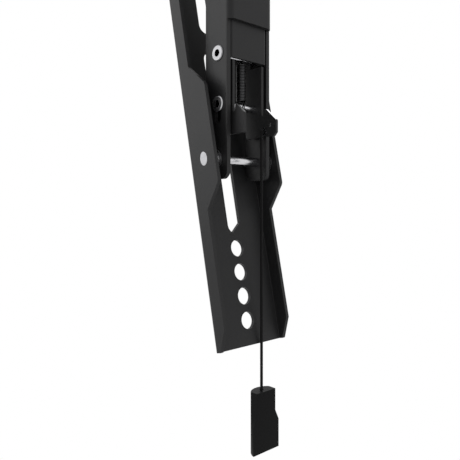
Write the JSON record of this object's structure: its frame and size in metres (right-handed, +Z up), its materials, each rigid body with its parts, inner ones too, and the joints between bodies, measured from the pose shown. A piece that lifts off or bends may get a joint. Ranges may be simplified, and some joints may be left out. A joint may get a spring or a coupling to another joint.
{
  "type": "tilting tv wall bracket",
  "caption": "Upright bracket that hooks on a wall rail, with a sprung latch and pull cord at its foot, and a slotted display strip that tilts on a pivot and two stays.",
  "frame": {"origin": "on the wall face of the upright, in the middle of its width, 100 mm above the pivot axis", "axes": "+X to the right when looking from the wall out into the room, +Y away from the wall towards the display, +Z up"},
  "size_m": [0.0488, 0.1056, 0.4948],
  "materials": {
    "black_steel": "satin black powder coat",
    "zinc_steel": "bright zinc plate",
    "spring_steel": "dark oiled wire",
    "dark_steel": "black oxide",
    "black_cord": "braided cord",
    "black_plastic": "fine matt"
  },
  "bodies": {
    "upright": {"wall_channel": "black_steel", "latch_guide": "black_steel", "hook_bracket": "black_steel", "upper_cross_pin": "zinc_steel", "guide_rivet": "zinc_steel", "hook_rivet_lower": "zinc_steel", "hook_rivet_upper": "zinc_steel", "latch_spring": "spring_steel"},
    "latch": {"latch": "black_steel", "lower_cross_pin": "zinc_steel", "cord_eyelet": "dark_steel", "cord_stop": "dark_steel", "pull_cord": "black_cord", "pull_handle": "black_plastic", "cord_knot": "black_cord"},
    "strip": {"tv_channel": "black_steel", "pivot_axle": "zinc_steel", "pivot_spacer_left": "zinc_steel", "pivot_spacer_right": "zinc_steel", "stay_rivet_left": "zinc_steel", "stay_rivet_right": "zinc_steel", "stay_spacer_left": "zinc_steel", "stay_spacer_right": "zinc_steel"},
    "stay": {"stay_left": "black_steel", "stay_right": "black_steel", "slide_bolt": "dark_steel", "slide_nut": "dark_steel", "slide_washer_left": "black_plastic", "slide_washer_right": "black_plastic"}
  },
  "joints": [
    {"name": "display_tilt", "type": "hinge", "parent": "upright", "child": "strip", "pos_m": [0, 0.01135, -0.1], "axis": [-1, 0, 0], "range_deg": [-12.25, 0]},
    {"name": "stay_hinge", "type": "hinge", "parent": "strip", "child": "stay", "pos_m": [0, 0.04562, 0.04605], "axis": [-1, 0, 0], "range_deg": [0, 24.5]},
    {"name": "latch_slide", "type": "slide", "parent": "upright", "child": "latch", "axis": [0, 0, -1], "range_m": [0, 0.007], "stiffness_N_per_m": 900, "springref_m": -0.004, "deforming": ["latch_spring"]}
  ],
  "couplings": [
    {"joint": "stay_hinge", "follows": "display_tilt", "ratio": -2}
  ]
}
